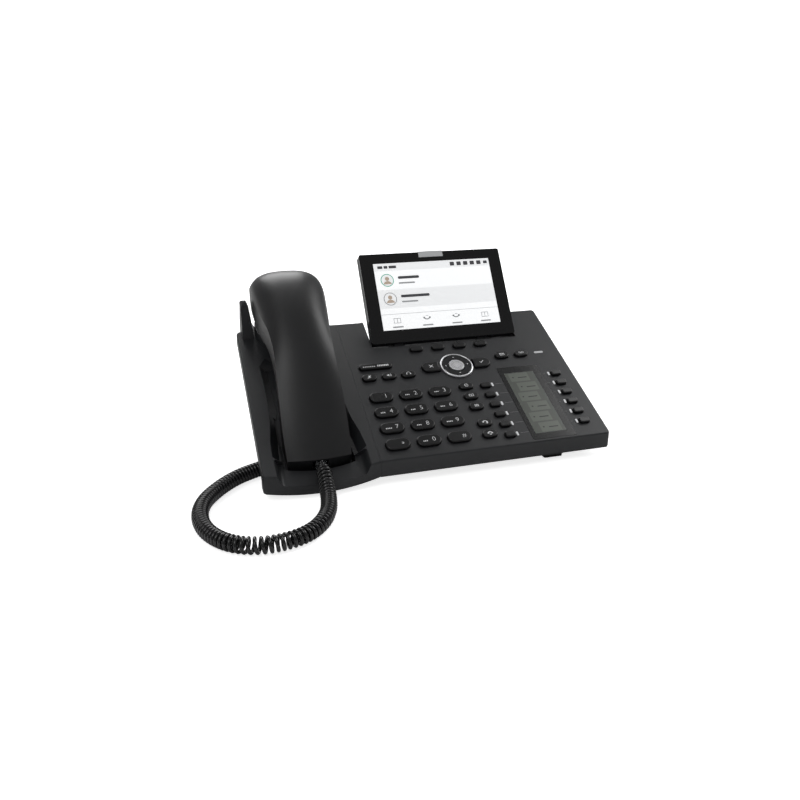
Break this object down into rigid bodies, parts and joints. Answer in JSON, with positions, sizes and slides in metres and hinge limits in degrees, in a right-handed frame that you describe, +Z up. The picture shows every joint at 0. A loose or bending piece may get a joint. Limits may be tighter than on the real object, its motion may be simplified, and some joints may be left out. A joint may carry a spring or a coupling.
{
  "type": "desk telephone",
  "caption": "Desk telephone with a sloping keypad body, a cradled handset on a coiled cord, a tilting colour display and a strip of line keys.",
  "frame": {"origin": "centre of the phone's footprint box on the desk, the free cord left out", "axes": "+X to the right along the keypad's rows, +Y to the rear, up the slope, +Z up from the desk"},
  "size_m": [0.2851, 0.2149, 0.1248],
  "materials": {
    "base_plastic": "fine matt texture",
    "board": "solder mask",
    "brushed_button": "turned brushing",
    "capsule": "moulded",
    "charcoal_body": "fine matt texture",
    "cord_plastic": "smooth glossy",
    "display_glass": "polished dark glass over the screen",
    "feet_rubber": "soft matt",
    "handset_plastic": "smooth satin",
    "key_plastic": "smooth satin",
    "lcd": "reflective liquid crystal",
    "light_bar": "frosted translucent",
    "window": "tinted clear"
  },
  "bodies": {
    "root": {"top_cover": "charcoal_body", "base_shell": "base_plastic", "cradle_housing": "charcoal_body", "foot_stand": "base_plastic", "rubber_feet": "feet_rubber", "circuit_board": "board", "label_window": "window", "label_lcd": "lcd", "handset_cord": "cord_plastic"},
    "display": {"display_rear_cover": "charcoal_body", "display_glass": "display_glass", "display_panel": "lcd", "display_light_bar": "light_bar"},
    "handset": {"handset_outer_shell": "handset_plastic", "handset_inner_shell": "handset_plastic", "handset_capsules": "capsule"},
    "hook_switch": {"hook_switch": "key_plastic"},
    "nav_ring": {"nav_ring": "key_plastic"},
    "nav_button": {"nav_button": "brushed_button"},
    "volume_rocker": {"volume_rocker": "key_plastic"},
    "dial_key_1": {"dial_key_1": "key_plastic"},
    "dial_key_2": {"dial_key_2": "key_plastic"},
    "dial_key_3": {"dial_key_3": "key_plastic"},
    "dial_key_4": {"dial_key_4": "key_plastic"},
    "dial_key_5": {"dial_key_5": "key_plastic"},
    "dial_key_6": {"dial_key_6": "key_plastic"},
    "dial_key_7": {"dial_key_7": "key_plastic"},
    "dial_key_8": {"dial_key_8": "key_plastic"},
    "dial_key_9": {"dial_key_9": "key_plastic"},
    "dial_key_star": {"dial_key_star": "key_plastic"},
    "dial_key_0": {"dial_key_0": "key_plastic"},
    "dial_key_hash": {"dial_key_hash": "key_plastic"},
    "soft_key_1": {"soft_key_1": "key_plastic"},
    "soft_key_2": {"soft_key_2": "key_plastic"},
    "soft_key_3": {"soft_key_3": "key_plastic"},
    "soft_key_4": {"soft_key_4": "key_plastic"},
    "mute_key": {"mute_key": "key_plastic"},
    "speaker_key": {"speaker_key": "key_plastic"},
    "headset_key": {"headset_key": "key_plastic"},
    "do_not_disturb_key": {"do_not_disturb_key": "key_plastic"},
    "directory_key": {"directory_key": "key_plastic"},
    "menu_key": {"menu_key": "key_plastic"},
    "transfer_key": {"transfer_key": "key_plastic"},
    "hold_key": {"hold_key": "key_plastic"},
    "message_key": {"message_key": "key_plastic"},
    "voicemail_key": {"voicemail_key": "key_plastic"},
    "cancel_key": {"cancel_key": "key_plastic"},
    "confirm_key": {"confirm_key": "key_plastic"},
    "line_key_1": {"line_key_1": "key_plastic"},
    "line_key_2": {"line_key_2": "key_plastic"},
    "line_key_3": {"line_key_3": "key_plastic"},
    "line_key_4": {"line_key_4": "key_plastic"},
    "line_key_5": {"line_key_5": "key_plastic"},
    "line_key_6": {"line_key_6": "key_plastic"},
    "line_key_7": {"line_key_7": "key_plastic"},
    "line_key_8": {"line_key_8": "key_plastic"},
    "line_key_9": {"line_key_9": "key_plastic"},
    "line_key_10": {"line_key_10": "key_plastic"},
    "line_key_11": {"line_key_11": "key_plastic"},
    "line_key_12": {"line_key_12": "key_plastic"}
  },
  "joints": [
    {"name": "dial_key_1_press", "type": "slide", "parent": "root", "child": "dial_key_1", "axis": [0, 0.4099, -0.9121], "range_m": [0, 0.0012], "stiffness_N_per_m": 450},
    {"name": "dial_key_2_press", "type": "slide", "parent": "root", "child": "dial_key_2", "axis": [0, 0.4099, -0.9121], "range_m": [0, 0.0012], "stiffness_N_per_m": 450},
    {"name": "dial_key_3_press", "type": "slide", "parent": "root", "child": "dial_key_3", "axis": [0, 0.4099, -0.9121], "range_m": [0, 0.0012], "stiffness_N_per_m": 450},
    {"name": "dial_key_4_press", "type": "slide", "parent": "root", "child": "dial_key_4", "axis": [0, 0.4099, -0.9121], "range_m": [0, 0.0012], "stiffness_N_per_m": 450},
    {"name": "dial_key_5_press", "type": "slide", "parent": "root", "child": "dial_key_5", "axis": [0, 0.4099, -0.9121], "range_m": [0, 0.0012], "stiffness_N_per_m": 450},
    {"name": "dial_key_6_press", "type": "slide", "parent": "root", "child": "dial_key_6", "axis": [0, 0.4099, -0.9121], "range_m": [0, 0.0012], "stiffness_N_per_m": 450},
    {"name": "dial_key_7_press", "type": "slide", "parent": "root", "child": "dial_key_7", "axis": [0, 0.4099, -0.9121], "range_m": [0, 0.0012], "stiffness_N_per_m": 450},
    {"name": "dial_key_8_press", "type": "slide", "parent": "root", "child": "dial_key_8", "axis": [0, 0.4099, -0.9121], "range_m": [0, 0.0012], "stiffness_N_per_m": 450},
    {"name": "dial_key_9_press", "type": "slide", "parent": "root", "child": "dial_key_9", "axis": [0, 0.4099, -0.9121], "range_m": [0, 0.0012], "stiffness_N_per_m": 450},
    {"name": "dial_key_star_press", "type": "slide", "parent": "root", "child": "dial_key_star", "axis": [0, 0.4099, -0.9121], "range_m": [0, 0.0012], "stiffness_N_per_m": 450},
    {"name": "dial_key_0_press", "type": "slide", "parent": "root", "child": "dial_key_0", "axis": [0, 0.4099, -0.9121], "range_m": [0, 0.0012], "stiffness_N_per_m": 450},
    {"name": "dial_key_hash_press", "type": "slide", "parent": "root", "child": "dial_key_hash", "axis": [0, 0.4099, -0.9121], "range_m": [0, 0.0012], "stiffness_N_per_m": 450},
    {"name": "soft_key_1_press", "type": "slide", "parent": "root", "child": "soft_key_1", "axis": [0, 0.4099, -0.9121], "range_m": [0, 0.0012], "stiffness_N_per_m": 450},
    {"name": "soft_key_2_press", "type": "slide", "parent": "root", "child": "soft_key_2", "axis": [0, 0.4099, -0.9121], "range_m": [0, 0.0012], "stiffness_N_per_m": 450},
    {"name": "soft_key_3_press", "type": "slide", "parent": "root", "child": "soft_key_3", "axis": [0, 0.4099, -0.9121], "range_m": [0, 0.0012], "stiffness_N_per_m": 450},
    {"name": "soft_key_4_press", "type": "slide", "parent": "root", "child": "soft_key_4", "axis": [0, 0.4099, -0.9121], "range_m": [0, 0.0012], "stiffness_N_per_m": 450},
    {"name": "mute_key_press", "type": "slide", "parent": "root", "child": "mute_key", "axis": [0, 0.4099, -0.9121], "range_m": [0, 0.0012], "stiffness_N_per_m": 450},
    {"name": "speaker_key_press", "type": "slide", "parent": "root", "child": "speaker_key", "axis": [0, 0.4099, -0.9121], "range_m": [0, 0.0012], "stiffness_N_per_m": 450},
    {"name": "headset_key_press", "type": "slide", "parent": "root", "child": "headset_key", "axis": [0, 0.4099, -0.9121], "range_m": [0, 0.0012], "stiffness_N_per_m": 450},
    {"name": "do_not_disturb_key_press", "type": "slide", "parent": "root", "child": "do_not_disturb_key", "axis": [0, 0.4099, -0.9121], "range_m": [0, 0.0012], "stiffness_N_per_m": 450},
    {"name": "directory_key_press", "type": "slide", "parent": "root", "child": "directory_key", "axis": [0, 0.4099, -0.9121], "range_m": [0, 0.0012], "stiffness_N_per_m": 450},
    {"name": "menu_key_press", "type": "slide", "parent": "root", "child": "menu_key", "axis": [0, 0.4099, -0.9121], "range_m": [0, 0.0012], "stiffness_N_per_m": 450},
    {"name": "transfer_key_press", "type": "slide", "parent": "root", "child": "transfer_key", "axis": [0, 0.4099, -0.9121], "range_m": [0, 0.0012], "stiffness_N_per_m": 450},
    {"name": "hold_key_press", "type": "slide", "parent": "root", "child": "hold_key", "axis": [0, 0.4099, -0.9121], "range_m": [0, 0.0012], "stiffness_N_per_m": 450},
    {"name": "message_key_press", "type": "slide", "parent": "root", "child": "message_key", "axis": [0, 0.4099, -0.9121], "range_m": [0, 0.0012], "stiffness_N_per_m": 450},
    {"name": "voicemail_key_press", "type": "slide", "parent": "root", "child": "voicemail_key", "axis": [0, 0.4099, -0.9121], "range_m": [0, 0.0012], "stiffness_N_per_m": 450},
    {"name": "cancel_key_press", "type": "slide", "parent": "root", "child": "cancel_key", "axis": [0, 0.4099, -0.9121], "range_m": [0, 0.0012], "stiffness_N_per_m": 450},
    {"name": "confirm_key_press", "type": "slide", "parent": "root", "child": "confirm_key", "axis": [0, 0.4099, -0.9121], "range_m": [0, 0.0012], "stiffness_N_per_m": 450},
    {"name": "line_key_1_press", "type": "slide", "parent": "root", "child": "line_key_1", "axis": [0, 0.4099, -0.9121], "range_m": [0, 0.0012], "stiffness_N_per_m": 450},
    {"name": "line_key_2_press", "type": "slide", "parent": "root", "child": "line_key_2", "axis": [0, 0.4099, -0.9121], "range_m": [0, 0.0012], "stiffness_N_per_m": 450},
    {"name": "line_key_3_press", "type": "slide", "parent": "root", "child": "line_key_3", "axis": [0, 0.4099, -0.9121], "range_m": [0, 0.0012], "stiffness_N_per_m": 450},
    {"name": "line_key_4_press", "type": "slide", "parent": "root", "child": "line_key_4", "axis": [0, 0.4099, -0.9121], "range_m": [0, 0.0012], "stiffness_N_per_m": 450},
    {"name": "line_key_5_press", "type": "slide", "parent": "root", "child": "line_key_5", "axis": [0, 0.4099, -0.9121], "range_m": [0, 0.0012], "stiffness_N_per_m": 450},
    {"name": "line_key_6_press", "type": "slide", "parent": "root", "child": "line_key_6", "axis": [0, 0.4099, -0.9121], "range_m": [0, 0.0012], "stiffness_N_per_m": 450},
    {"name": "line_key_7_press", "type": "slide", "parent": "root", "child": "line_key_7", "axis": [0, 0.4099, -0.9121], "range_m": [0, 0.0012], "stiffness_N_per_m": 450},
    {"name": "line_key_8_press", "type": "slide", "parent": "root", "child": "line_key_8", "axis": [0, 0.4099, -0.9121], "range_m": [0, 0.0012], "stiffness_N_per_m": 450},
    {"name": "line_key_9_press", "type": "slide", "parent": "root", "child": "line_key_9", "axis": [0, 0.4099, -0.9121], "range_m": [0, 0.0012], "stiffness_N_per_m": 450},
    {"name": "line_key_10_press", "type": "slide", "parent": "root", "child": "line_key_10", "axis": [0, 0.4099, -0.9121], "range_m": [0, 0.0012], "stiffness_N_per_m": 450},
    {"name": "line_key_11_press", "type": "slide", "parent": "root", "child": "line_key_11", "axis": [0, 0.4099, -0.9121], "range_m": [0, 0.0012], "stiffness_N_per_m": 450},
    {"name": "line_key_12_press", "type": "slide", "parent": "root", "child": "line_key_12", "axis": [0, 0.4099, -0.9121], "range_m": [0, 0.0012], "stiffness_N_per_m": 450},
    {"name": "nav_button_press", "type": "slide", "parent": "root", "child": "nav_button", "axis": [0, 0.4099, -0.9121], "range_m": [0, 0.001], "stiffness_N_per_m": 450},
    {"name": "nav_ring_tilt", "type": "hinge", "parent": "root", "child": "nav_ring", "pos_m": [0.0328, 0.00108, 0.04991], "axis": [1, 0, 0], "range_deg": [-2.5, 2.5], "stiffness_Nm_per_rad": 0.6},
    {"name": "volume_rocker_tilt", "type": "hinge", "parent": "root", "child": "volume_rocker", "pos_m": [-0.0274, 0.00728, 0.0527], "axis": [0, 0.9121, 0.4099], "range_deg": [-3, 3], "stiffness_Nm_per_rad": 0.6},
    {"name": "display_tilt", "type": "hinge", "parent": "root", "child": "display", "pos_m": [-0.0205, 0.0312, 0.05851], "axis": [1, 0, 0], "range_deg": [-32.2, 14]},
    {"name": "handset_lift", "type": "slide", "parent": "root", "child": "handset", "axis": [0, -0.4099, 0.9121], "range_m": [0, 0.08]},
    {"name": "hook_switch_rise", "type": "slide", "parent": "root", "child": "hook_switch", "axis": [0, -0.4099, 0.9121], "range_m": [0, 0.003]}
  ],
  "couplings": [
    {"joint": "hook_switch_rise", "follows": "handset_lift", "ratio": 0.0375}
  ]
}
